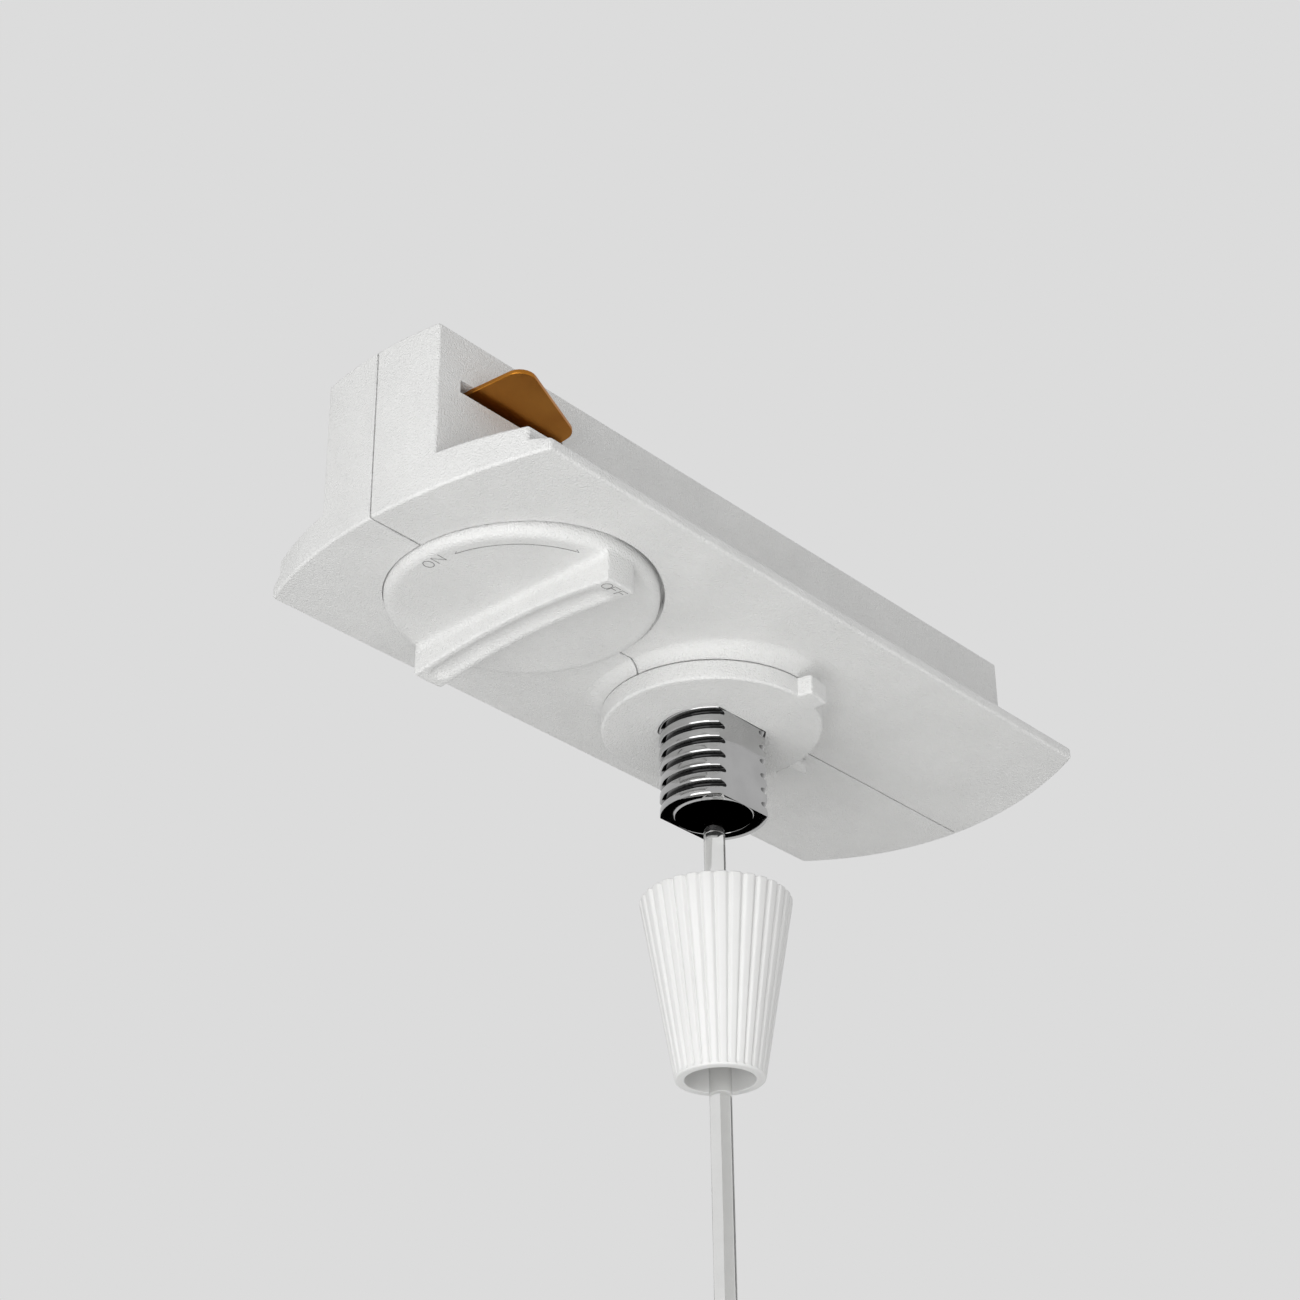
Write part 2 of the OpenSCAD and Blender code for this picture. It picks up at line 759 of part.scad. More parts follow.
// Insulating slider with a forked yoke for its crank pin
module slider() {
    top_z = blade_z - blade_t / 2;
    tine_y0 = slider_y0 + slide_gap;
    tine_y1 = slider_y1 - slide_gap;
    yoke_y = -stroke / 2;
    difference() {
        union() {
            block([slider_x0, slider_y0, deck_z + pass_gap], [foot_x1, slider_y1, top_z]);
            block([slider_x0, slider_y0, tine_z0], [body_x1, slider_y1, top_z]);
            block([body_x1 - 1, slider_y0, top_z - slider_deck_t], [blade_x1, slider_y1, top_z]);
            block([body_x1 - 1, tine_y0, tine_z0], [tine_x1, tine_y1, tine_z1]);
        }
        // The fork is open towards the knob's axis
        translate([yoke_x + yoke_half, yoke_y, tine_z0 - 3])
            cylinder(h = tine_z1 - tine_z0 + 3 + pass_gap, r = yoke_half, $fn = fine);
        block([yoke_x + yoke_half, yoke_y - yoke_half, tine_z0 - 3],
              [tine_x1 + 1, yoke_y + yoke_half, tine_z1 + pass_gap]);
        for (s = [-1, 1])
            translate([blade_mid_x + s * rivet_dx, rivet_y, top_z - 2])
                cylinder(h = 3, r = rivet_r + fixed_gap, $fn = fine);
    }
}

module front_slider() {
    color("gray")
        slider();
}

module rear_slider() {
    color("gray")
        rear_side()
            slider();
}

// Outline of a contact blade: the edge slants back towards the knob, and its corners are round
module blade_outline() {
    r = blade_round;
    outer = [blade_x0 + blade_lean + r, blade_tip_y + r];
    inner = [blade_x1 - r, blade_tip_y + blade_slant + r];
    a = atan2(inner[1] - outer[1], inner[0] - outer[0]);
    edge = [for (i = [0 : 8]) let (t = 180 + (90 + a) * i / 8) outer + r * [cos(t), sin(t)]];
    back = [for (i = [0 : 6]) let (t = 270 + a + (90 - a) * i / 6) inner + r * [cos(t), sin(t)]];
    polygon(concat([[blade_x0, slider_y1], [blade_x0, -neck_w / 2]], edge, back,
                   [[blade_x1, slider_y1]]));
}

module contact() {
    difference() {
        translate([0, 0, blade_z - blade_t / 2])
            linear_extrude(height = blade_t)
                blade_outline();
        for (s = [-1, 1])
            translate([blade_mid_x + s * rivet_dx, rivet_y, blade_z - 1])
                cylinder(h = 2, r = rivet_r + fixed_gap, $fn = fine);
    }
}

module front_contact() {
    color("goldenrod")
        contact();
}

module rear_contact() {
    color("goldenrod")
        rear_side()
            contact();
}

// Two rivets that hold a blade on its slider
module rivets() {
    top_z = blade_z + blade_t / 2;
    for (s = [-1, 1])
        translate([blade_mid_x + s * rivet_dx, rivet_y, 0]) {
            translate([0, 0, top_z - blade_t - rivet_l])
                cylinder(h = blade_t + rivet_l + merge, r = rivet_r, $fn = fine);
            translate([0, 0, top_z])
                cylinder(h = rivet_head_t, r = rivet_head_r, $fn = fine);
        }
}

module front_rivets() {
    color("silver")
        rivets();
}

module rear_rivets() {
    color("silver")
        rear_side()
            rivets();
}

// Brass strip on side s, from the wiper on a blade to its terminal
module bus_strip(s, wiper_x) {
    x1 = term_x + term_l;
    wiper_top = strip_z + strip_t / 2;
    wiper_z = blade_z + blade_t / 2 + wiper_gap + wiper_r;
    difference() {
        union() {
            block([wiper_x - wiper_l / 2, s * strip_y - strip_w / 2, strip_z],
                  [x1, s * strip_y + strip_w / 2, strip_z + strip_t]);
            translate([wiper_x - wiper_l / 2, s * strip_y, wiper_z])
                rotate([0, 90, 0])
                    cylinder(h = wiper_l, r = wiper_r, $fn = fine);
            block([wiper_x - wiper_l / 2, s * strip_y - wiper_r, wiper_z],
                  [wiper_x + wiper_l / 2, s * strip_y + wiper_r, wiper_top]);
        }
        translate([term_x + term_l / 2, s * strip_y, strip_z - eps])
            cylinder(h = strip_t + 2 * eps, r = term_screw_r + fixed_gap, $fn = fine);
    }
}

module live_strip() {
    color("gold")
        bus_strip(-1, blade_mid_x);
}

module neutral_strip() {
    color("gold")
        bus_strip(1, 2 * knob_x - blade_mid_x);
}

// Two brass terminal blocks on their shelves
module terminal_blocks() {
    color("khaki")
        for (s = [-1, 1])
            difference() {
                block([term_x, s * strip_y - term_w / 2, term_z],
                      [term_x + term_l, s * strip_y + term_w / 2, term_z + term_h]);
                translate([term_x - eps, s * strip_y, wire_z])
                    rotate([0, 90, 0])
                        cylinder(h = term_l + 2 * eps, r = wire_r, $fn = fine);
                translate([term_x + term_l / 2, s * strip_y, wire_z])
                    cylinder(h = term_h, r = term_screw_r + fixed_gap, $fn = fine);
            }
}

// Two slotted screws that clamp the cores and the strips
module terminal_screws() {
    tip_z = wire_z + core_r + clamp_gap;
    top_z = strip_z + strip_t;
    head_z = top_z + term_head_t;
    color("silver")
        for (s = [-1, 1])
            translate([term_x + term_l / 2, s * strip_y, 0])
                difference() {
                    union() {
                        translate([0, 0, tip_z])
                            cylinder(h = top_z - tip_z + merge, r = term_screw_r, $fn = fine);
                        translate([0, 0, top_z])
                            cylinder(h = term_head_t, r = term_head_r, $fn = fine);
                    }
                    block([-term_head_r - 1, -driver_w / 2, head_z - driver_deep],
                          [term_head_r + 1, driver_w / 2, head_z + 1]);
                }
}

// Round body with two flats, as the nipple and the hole that keys it
module flatted(r, flats, z0, z1) {
    intersection() {
        translate([0, 0, z0])
            cylinder(h = z1 - z0, r = r, $fn = round_fn);
        block([-r - 1, -flats / 2, z0 - 1], [r + 1, flats / 2, z1 + 1]);
    }
}

// Swivel collar: disc with its stop lug, spigot through the floor and the captive rim above it
module swivel_collar() {
    r = collar_d / 2;
    color("whitesmoke")
        translate([cord_x, 0, 0])
            difference() {
                union() {
                    translate([0, 0, collar_z])
                        rotate_extrude($fn = round_fn)
                            polygon([[0, 0], [r - collar_edge, 0], [r, collar_edge],
                                     [r, collar_t], [0, collar_t]]);
                    rotate([0, 0, lug_angle])
                        block([r - lug_root, -lug_w / 2, collar_z],
                              [r + lug_out, lug_w / 2, collar_top_z]);
                    translate([0, 0, collar_top_z - merge])
                        cylinder(h = keep_z - collar_top_z + 2 * merge, r = spigot_r, $fn = round_fn);
                    translate([0, 0, keep_z])
                        cylinder(h = keep_t, r = keep_r, $fn = round_fn);
                }
                flatted(nipple_r + key_gap, nipple_flats + 2 * key_gap, collar_z - 1,
                        keep_z + keep_t + 1);
            }
}

// Slip washer under the captive rim
module slip_washer() {
    color("ivory")
        translate([cord_x, 0, washer_z])
            difference() {
                cylinder(h = washer_t, r = keep_r + washer_over, $fn = round_fn);
                translate([0, 0, -1])
                    cylinder(h = washer_t + 2, r = spigot_r + turn_gap, $fn = round_fn);
            }
}

// Threaded nipple with two flats, a round head above the collar and a bore for the cord
module threaded_nipple() {
    l = nipple_head_z - nipple_z;
    grooves = [for (i = [0 : thread_count - 1]) let (z = thread_first_z - nipple_z + i * thread_pitch)
               each [[nipple_r, z - thread_w / 2],
                     [nipple_r - thread_deep, z - thread_root_w / 2],
                     [nipple_r - thread_deep, z + thread_root_w / 2],
                     [nipple_r, z + thread_w / 2]]];
    color("silver")
        translate([cord_x, 0, 0])
            difference() {
                union() {
                    intersection() {
                        translate([0, 0, nipple_z])
                            rotate_extrude($fn = round_fn)
                                polygon(concat([[0, 0], [nipple_r - nipple_edge, 0],
                                                [nipple_r, nipple_edge]],
                                               grooves,
                                               [[nipple_r, l + merge], [0, l + merge]]));
                        block([-nipple_r - 1, -nipple_flats / 2, nipple_z - 1],
                              [nipple_r + 1, nipple_flats / 2, nipple_head_z + 1]);
                    }
                    translate([0, 0, nipple_head_z])
                        cylinder(h = nipple_head_t, r = nipple_head_r, $fn = round_fn);
                }
                translate([0, 0, nipple_z - 1])
                    cylinder(h = l + nipple_head_t + 2, r = nipple_bore / 2, $fn = round_fn);
            }
}

// Grip for the cord: a slit cone that stands on the cone's inner shoulder
module cord_grip() {
    color("linen")
        translate([cord_x, 0, seat_z])
            difference() {
                union() {
                    cylinder(h = grip_flange_t, r = grip_flange_r, $fn = fine);
                    translate([0, 0, grip_flange_t - merge])
                        rotate_extrude($fn = fine)
                            polygon([[0, 0], [grip_nose_r, 0],
                                     [grip_nose_r - grip_taper, grip_nose_l + merge],
                                     [0, grip_nose_l + merge]]);
                }
                translate([0, 0, -1])
                    cylinder(h = grip_nose_l + grip_flange_t + 2, r = cord_d / 2 + run_gap, $fn = fine);
                for (a = [0, 90])
                    rotate([0, 0, a])
                        block([-grip_nose_r - 1, -grip_slot / 2, grip_flange_t + grip_root],
                              [grip_nose_r + 1, grip_slot / 2, grip_nose_l + grip_flange_t + 1]);
            }
}

// Outline of the ribbed cone at its narrow end: flat ribs with sloping valleys between them
module ribbed_outline(r, deep) {
    pitch = 360 / rib_count;
    polygon([for (i = [0 : rib_count - 1])
             each [r * [cos((i - 0.3) * pitch), sin((i - 0.3) * pitch)],
                   (r + 0.02) * [cos(i * pitch), sin(i * pitch)],
                   r * [cos((i + 0.3) * pitch), sin((i + 0.3) * pitch)],
                   (r - deep) * [cos((i + 0.43) * pitch), sin((i + 0.43) * pitch)],
                   (r - deep) * [cos((i + 0.57) * pitch), sin((i + 0.57) * pitch)]]]);
}

// Ribbed cone that screws onto the nipple, with a plain rim at its narrow end
module ribbed_cone() {
    grow = cone_d / cone_tip_d;
    tip_r = cone_tip_d / 2;
    rim_r = tip_r + cone_rim * (cone_d - cone_tip_d) / 2 / cone_l;
    color("white")
        translate([cord_x, 0, 0])
            difference() {
                union() {
                    translate([0, 0, cone_z + cone_rim / 2])
                        linear_extrude(height = cone_l - cone_rim / 2, scale = cone_d / 2 / rim_r)
                            ribbed_outline(rim_r, rib_deep / grow);
                    translate([0, 0, cone_z])
                        rotate_extrude($fn = round_fn)
                            polygon([[0, 0], [tip_r - cone_edge_w, 0], [tip_r, cone_edge_h],
                                     [rim_r, cone_rim], [0, cone_rim]]);
                }
                translate([0, 0, cone_z - 1])
                    cylinder(h = cone_l + 2, r = cone_bore / 2, $fn = round_fn);
                translate([0, 0, seat_z])
                    cylinder(h = socket_l + 1, r = socket_r, $fn = round_fn);
            }
}

// Cord with its clear sheath, hanging straight
module cord_sheath() {
    color("gainsboro")
        tube(cord_points, cord_d / 2);
}

// Two cores from the end of the sheath to the terminals
module inner_cores() {
    color("tan")
        for (s = [-1, 1])
            tube([for (p = core_points) [p[0], s * p[1], p[2]]], core_r);
}

// Two stripped tails with crimped ferrules at the cord's lower end
module cord_tails() {
    for (s = [-1, 1])
        translate([cord_x, s * tail_spread, 0]) {
            color("tan")
                translate([0, 0, cord_end_z - tail_l])
                    cylinder(h = tail_l, r = tail_r, $fn = fine);
            color("silver")
                translate([0, 0, cord_end_z - tail_l - ferrule_l])
                    cylinder(h = ferrule_l + eps, r = ferrule_r, $fn = fine);
        }
}

housing_front();
housing_rear();
housing_screws();
lock_knob();
crank_disc();
knob_screw();
detent_spring();
front_slider();
rear_slider();
front_contact();
rear_contact();
front_rivets();
rear_rivets();
live_strip();
neutral_strip();
terminal_blocks();
terminal_screws();
swivel_collar();
slip_washer();
threaded_nipple();
cord_grip();
ribbed_cone();
cord_sheath();
inner_cores();
cord_tails();
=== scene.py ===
"""Looks of the lighting track connector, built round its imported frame. In metres, +Z up."""

import json
import math

import bmesh
import bpy
from mathutils import Matrix, Vector

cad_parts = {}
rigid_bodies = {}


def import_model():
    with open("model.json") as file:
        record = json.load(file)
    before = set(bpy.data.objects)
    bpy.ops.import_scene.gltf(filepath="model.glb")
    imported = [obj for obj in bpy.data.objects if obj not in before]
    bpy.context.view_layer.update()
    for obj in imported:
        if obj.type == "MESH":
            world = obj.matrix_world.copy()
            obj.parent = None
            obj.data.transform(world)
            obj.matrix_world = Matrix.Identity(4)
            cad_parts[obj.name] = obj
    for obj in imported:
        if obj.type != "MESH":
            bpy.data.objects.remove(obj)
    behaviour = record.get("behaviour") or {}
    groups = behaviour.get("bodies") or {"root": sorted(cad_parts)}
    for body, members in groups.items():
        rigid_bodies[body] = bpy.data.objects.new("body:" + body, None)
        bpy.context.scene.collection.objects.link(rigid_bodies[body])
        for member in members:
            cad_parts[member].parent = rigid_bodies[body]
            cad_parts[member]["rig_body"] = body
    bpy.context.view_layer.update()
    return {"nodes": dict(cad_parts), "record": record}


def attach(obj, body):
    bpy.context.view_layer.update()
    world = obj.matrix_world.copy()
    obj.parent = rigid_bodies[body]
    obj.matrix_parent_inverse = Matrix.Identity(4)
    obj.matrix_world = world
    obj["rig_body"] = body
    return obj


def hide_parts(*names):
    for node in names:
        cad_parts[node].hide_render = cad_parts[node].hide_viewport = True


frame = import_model()

MM = 0.001

# Places and sizes of the connector's pieces, its lettering and its grooves
CORD_X = 2.35 * MM
KNOB_X = -23.15 * MM
KNOB_FACE_Z = -4.68 * MM
BAR_Z = -7.53 * MM
BAR_ARCH = 0.95 * MM
BAR_END_R = 12.1 * MM
ARC_R = 10.6 * MM
ON_R = 10.2 * MM
ON_SIZE = 1.1 * MM
OFF_Y = -10.56 * MM
OFF_SIZE = 1.05 * MM
STROKE_R = 0.04 * MM
KNOB_VOXEL = 0.13 * MM
KNOB_SMOOTHING = 5
RECESS_R = 12.54 * MM
RING_R = 10.41 * MM
RING_Z = -5.08 * MM
RING_FILLET = 1.35 * MM
JOINT_Z = -3.81 * MM
CROWN_R = 145.8 * MM
COLLAR_R = 10.46 * MM
COLLAR_Z = -7.15 * MM
COLLAR_TOP_Z = -5.2 * MM
COLLAR_ROUND = 0.28 * MM
COLLAR_CHAMFER = 0.1 * MM
LUG_ANGLE = math.radians(-81)
LUG_REACH = math.radians(12)
LUG_W = 3.0 * MM
LUG_OUT = 1.29 * MM
LUG_CORNER = 24
SPIGOT_R = 6.2 * MM
KEEP_R = 7.5 * MM
KEEP_Z = -3.28 * MM
HOLE_R = 5.12 * MM
HOLE_FLAT = 3.84 * MM
CONE_TOP_Z = -24.72 * MM
CONE_TIP_Z = -41.81 * MM
CONE_TOP_R = 7.01 * MM
CONE_TIP_R = 4.03 * MM
CONE_BORE_R = 3.17 * MM
SOCKET_R = 5.08 * MM
SEAT_Z = -31.22 * MM
RIBS = 32
RIB_DEEP = 0.3 * MM
RIB_FLAT = 0.5
NIPPLE_MOUTH_Z = -16.08 * MM
NIPPLE_HEAD_Z = -1.98 * MM
NIPPLE_TOP_Z = -0.58 * MM
NIPPLE_R = 5.0 * MM
NIPPLE_BORE_R = 3.6 * MM
NIPPLE_HEAD_R = 5.5 * MM
FLAT_Y = 3.72 * MM
NIPPLE_EDGE = 0.06 * MM
NIPPLE_STEPS = 128
THREAD_PITCH = 1.5 * MM
GROOVES = 6
FIRST_GROOVE_Z = NIPPLE_MOUTH_Z + 1.1 * MM
CORD_R = 1.0 * MM

# The cord's route: straight down from the nipple's mouth, held taut by what hangs on it
CORD_MM = [-16.08, -18, -20, -23, -26, -29, -32, -35, -38, -41, -44, -47, -50, -53, -56, -60, -64]
CORD_PATH = [(CORD_X, 0, z * MM) for z in CORD_MM]
CORD_TOP_Z = 1.5 * MM

# Where the shells' inside and outside begin, for the choice of edges
SKIN_Z = -3 * MM
UNDERSIDE_Z = -1.0 * MM
HOLLOW_X = 38.5 * MM
HOLLOW_Y = 6.6 * MM
HOLLOW_LOW_Z = -1.2 * MM
HOLLOW_TOP_Z = 13.0 * MM
SLOT_X = 38.3 * MM
SLOT_LOW_Z = 2.0 * MM
NUB_LOW_X = 12 * MM
NUB_HIGH_X = 18 * MM
NUB_HALF_Y = 3.5 * MM
NUB_UNDER_Z = -5.55 * MM
HOLE_MARGIN = 0.3 * MM
RING_MARGIN = 3 * MM
SEAM_MARGIN = 0.3 * MM
SEAM_HALF_Y = 0.2 * MM
SEAM_LOW_Z = -3.3 * MM
SEAM_TOP_Z = 13.2 * MM
BLADE_OUT_Y = 6.9 * MM

# Points closer than a weld are made one, and a point within NEAR counts as on a surface
WELD = 0.001 * MM
CAD_WELD = 0.002 * MM
NEAR = 0.01 * MM
SLIVER_WELD = 0.012 * MM
FOOT_SLIVER = 0.03 * MM
FOOT_WELD = 0.07 * MM

# Faces that turn less than FLAT_TURN are joined, and edges over EDGE_TURN may be rounded
FLAT_TURN = math.radians(0.4)
EDGE_TURN = math.radians(32)

# Edges over SMOOTH_TURN are shaded sharp, and the crown's faces lie within CROWN_TURN of its curve
SMOOTH_TURN = math.radians(35)
CROWN_TURN = math.radians(20)

# The fitted camera: heading, pitch and roll in degrees, its place in mm and its lens in mm
CAMERA_TURN = (41.877, 30.148, -0.669)
CAMERA_MM = (-164.285, -141.693, -125.058)
CAMERA_LENS = 72.92

# The light: strengths of the sky and of the floor's glow, and the point that the lamps shine on
SKY_LIGHT = 0.53
FLOOR_GLOW = 0.33
LAMP_AIM = (-0.005, 0, -0.01)


def colour(code):
    """Linear colour from an sRGB hex value."""
    parts = [int(code[i : i + 2], 16) / 255 for i in (1, 3, 5)]
    linear = [c / 12.92 if c <= 0.04045 else ((c + 0.055) / 1.055) ** 2.4 for c in parts]
    return (*linear, 1.0)


def add(tree, kind, inputs=None, **settings):
    """Adds a node with its settings, and sets or links each of its inputs."""
    node = tree.nodes.new(kind)
    for name, value in settings.items():
        setattr(node, name, value)
    for name, value in (inputs or {}).items():
        socket = node.inputs[name]
        if isinstance(value, bpy.types.NodeSocket):
            tree.links.new(value, socket)
        else:
            socket.default_value = value
    return node


def new_material(name):
    """Empty node material and its tree."""
    material = bpy.data.materials.new(name)
    material.use_nodes = True
    material.node_tree.nodes.clear()
    return material, material.node_tree


def finish_material(tree, inputs):
    """Principled surface with these inputs, on the material's output."""
    shader = add(tree, "ShaderNodeBsdfPrincipled", inputs)
    add(tree, "ShaderNodeOutputMaterial", {"Surface": shader.outputs["BSDF"]})


def mottled(tree, place, low, high, size):
    """Colour that drifts between two shades over patches of this size."""
    noise = add(tree, "ShaderNodeTexNoise", {"Vector": place, "Scale": 1 / size, "Detail": 3.0})
    ramp = add(tree, "ShaderNodeValToRGB", {"Fac": noise.outputs["Fac"]})
    ramp.color_ramp.elements[0].color = colour(low)
    ramp.color_ramp.elements[1].color = colour(high)
    ramp.color_ramp.elements[0].position = 0.3
    ramp.color_ramp.elements[1].position = 0.7
    return ramp.outputs["Color"]


def grained_abs(name, low, high, rough):
    """White ABS from a spark-eroded mould: a fine even grain, so light spreads softly.

    Such a grain is mostly too fine to show, so it is drawn as coarse as 0.18 mm.
    """
    material, tree = new_material(name)
    place = add(tree, "ShaderNodeTexCoord").outputs["Object"]
    grain = add(tree, "ShaderNodeTexNoise",
                {"Vector": place, "Scale": 1 / (0.18 * MM), "Detail": 1.5, "Roughness": 0.5})
    swell = add(tree, "ShaderNodeTexNoise", {"Vector": place, "Scale": 1 / (0.6 * MM), "Detail": 1.0})
    swells = add(tree, "ShaderNodeBump",
                 {"Height": swell.outputs["Fac"], "Distance": 0.03 * MM, "Strength": 0.5})
    grains = add(tree, "ShaderNodeBump",
                 {"Height": grain.outputs["Fac"], "Distance": 0.14 * MM, "Strength": 1.0,
                  "Normal": swells.outputs["Normal"]})
    spread = add(tree, "ShaderNodeMapRange",
                 {"Value": grain.outputs["Fac"], "To Min": rough - 0.06, "To Max": rough + 0.08})
    finish_material(tree, {"Base Color": mottled(tree, place, low, high, 6 * MM),
                           "Roughness": spread.outputs["Result"], "IOR": 1.53,
                           "Normal": grains.outputs["Normal"]})
    return material


def smooth_polypropylene(name):
    """White polypropylene from a polished mould: nearly smooth, with a low satin gloss."""
    material, tree = new_material(name)
    place = add(tree, "ShaderNodeTexCoord").outputs["Object"]
    ripple = add(tree, "ShaderNodeTexNoise", {"Vector": place, "Scale": 1 / (0.9 * MM), "Detail": 2.0})
    bump = add(tree, "ShaderNodeBump",
               {"Height": ripple.outputs["Fac"], "Distance": 0.004 * MM, "Strength": 0.3})
    finish_material(tree, {"Base Color": mottled(tree, place, "#E0E0DF", "#E3E3E2", 5 * MM),
                           "Roughness": 0.34, "IOR": 1.49, "Subsurface Weight": 0.08,
                           "Subsurface Radius": (0.8 * MM, 0.8 * MM, 0.8 * MM),
                           "Normal": bump.outputs["Normal"]})
    return material


def stamped_brass(name):
    """Brass strip, rolled along X and stamped: fine drawn lines and a warm, brownish sheen."""
    material, tree = new_material(name)
    place = add(tree, "ShaderNodeTexCoord").outputs["Object"]
    stretched = add(tree, "ShaderNodeMapping", {"Vector": place, "Scale": (0.06, 1.0, 1.0)})
    lines = add(tree, "ShaderNodeTexNoise",
                {"Vector": stretched.outputs["Vector"], "Scale": 1 / (0.07 * MM), "Detail": 3.0})
    bump = add(tree, "ShaderNodeBump",
               {"Height": lines.outputs["Fac"], "Distance": 0.004 * MM, "Strength": 0.35})
    spread = add(tree, "ShaderNodeMapRange",
                 {"Value": lines.outputs["Fac"], "To Min": 0.26, "To Max": 0.38})
    finish_material(tree, {"Base Color": mottled(tree, place, "#AB6E27", "#B87B30", 4 * MM),
                           "Metallic": 1.0, "Roughness": spread.outputs["Result"],
                           "Normal": bump.outputs["Normal"]})
    return material


def polished_chrome(name):
    """Brass turned on a lathe and chromed: a mirror with faint lathe rings round its axis.

    The thread's valleys and the bore get painted shade: a dark colour laid on by radius. The end
    face is as bright as the crests.
    """
    material, tree = new_material(name)
    place = add(tree, "ShaderNodeTexCoord").outputs["Object"]
    rings = add(tree, "ShaderNodeMapping", {"Vector": place, "Scale": (0.05, 0.05, 1.0)})
    lathe = add(tree, "ShaderNodeTexNoise",
                {"Vector": rings.outputs["Vector"], "Scale": 1 / (0.09 * MM), "Detail": 2.0})
    bump = add(tree, "ShaderNodeBump",
               {"Height": lathe.outputs["Fac"], "Distance": 0.003 * MM, "Strength": 0.15})
    spoke = add(tree, "ShaderNodeMapping",
                {"Vector": place, "Location": (-CORD_X, 0, 0), "Scale": (1.0, 1.0, 0.0)})
    radius = add(tree, "ShaderNodeVectorMath", {0: spoke.outputs["Vector"]}, operation="LENGTH")
    # Painted shade: the thread's valleys and the bore turn dark grey by radius; the crests, the end face
    # and the flats keep the chrome colour
    out_of_painted_shade = add(tree, "ShaderNodeMapRange",
                 {"Value": radius.outputs["Value"], "From Min": NIPPLE_R - 0.5 * MM,
                  "From Max": NIPPLE_R - 0.08 * MM})
    across = add(tree, "ShaderNodeSeparateXYZ", {"Vector": place})
    aside = add(tree, "ShaderNodeMath", {0: across.outputs["Y"]}, operation="ABSOLUTE")
    on_flat = add(tree, "ShaderNodeMath", {0: aside.outputs[0], 1: FLAT_Y - 0.01 * MM},
                  operation="GREATER_THAN")
    on_end = add(tree, "ShaderNodeMath", {0: across.outputs["Z"], 1: NIPPLE_MOUTH_Z + 0.13 * MM},
                 operation="LESS_THAN")
    outside = add(tree, "ShaderNodeMath", {0: on_end.outputs[0], 1: on_flat.outputs[0]},
                  operation="MAXIMUM")
    bright = add(tree, "ShaderNodeMath", {0: out_of_painted_shade.outputs["Result"], 1: outside.outputs[0]},
                 operation="MAXIMUM")
    shade_mix = add(tree, "ShaderNodeMix", {"Factor": bright.outputs[0], "A": colour("#2A2A2A"),
                                            "B": mottled(tree, place, "#B4B4B4", "#BFBFBF", 3 * MM)},
                    data_type="RGBA")
    finish_material(tree, {"Base Color": shade_mix.outputs["Result"],
                           "Metallic": 1.0, "Roughness": 0.06, "Normal": bump.outputs["Normal"]})
    return material


def clear_pvc(name):
    """Clear soft PVC, drawn through a die: it bends the light like glass, with faint lines along it."""
    material, tree = new_material(name)
    place = add(tree, "ShaderNodeTexCoord").outputs["Object"]
    drawn = add(tree, "ShaderNodeMapping", {"Vector": place, "Scale": (1.0, 1.0, 0.03)})
    draw_lines = add(tree, "ShaderNodeTexNoise",
                     {"Vector": drawn.outputs["Vector"], "Scale": 1 / (0.35 * MM), "Detail": 2.0})
    bump = add(tree, "ShaderNodeBump",
               {"Height": draw_lines.outputs["Fac"], "Distance": 0.03 * MM, "Strength": 0.4})
    finish_material(tree, {"Base Color": mottled(tree, place, "#F2F2F1", "#FAFAF9", 2 * MM),
                           "Roughness": 0.07, "IOR": 1.5, "Transmission Weight": 1.0,
                           "Normal": bump.outputs["Normal"]})
    return material


def plain_moulding(name, low, high, rough):
    """Unpolished technical moulding, such as glass-filled polyamide: dull, with a faint flow texture."""
    material, tree = new_material(name)
    place = add(tree, "ShaderNodeTexCoord").outputs["Object"]
    flow = add(tree, "ShaderNodeTexNoise", {"Vector": place, "Scale": 1 / (0.4 * MM), "Detail": 4.0})
    bump = add(tree, "ShaderNodeBump",
               {"Height": flow.outputs["Fac"], "Distance": 0.02 * MM, "Strength": 0.4})
    finish_material(tree, {"Base Color": mottled(tree, place, low, high, 2 * MM),
                           "Roughness": rough, "IOR": 1.53, "Normal": bump.outputs["Normal"]})
    return material


def plain_metal(name, low, high, rough):
    """Small metal part with a zinc, rolled or machined skin: fine uneven brightness."""
    material, tree = new_material(name)
    place = add(tree, "ShaderNodeTexCoord").outputs["Object"]
    skin = add(tree, "ShaderNodeTexNoise", {"Vector": place, "Scale": 1 / (0.2 * MM), "Detail": 4.0})
    spread = add(tree, "ShaderNodeMapRange",
                 {"Value": skin.outputs["Fac"], "To Min": rough - 0.07, "To Max": rough + 0.07})
    finish_material(tree, {"Base Color": mottled(tree, place, low, high, 1.5 * MM),
                           "Metallic": 1.0, "Roughness": spread.outputs["Result"]})
    return material


def link_object(name, mesh, material):
    """Puts a mesh in the scene at the origin, with its material."""
    piece = bpy.data.objects.new(name, mesh)
    bpy.context.scene.collection.objects.link(piece)
    mesh.materials.clear()
    mesh.materials.append(material)
    return piece


def made_piece(bm, name, material):
    """Puts a finished bmesh in the scene."""
    mesh = bpy.data.meshes.new(name)
    bm.to_mesh(mesh)
    bm.free()
    return link_object(name, mesh, material)


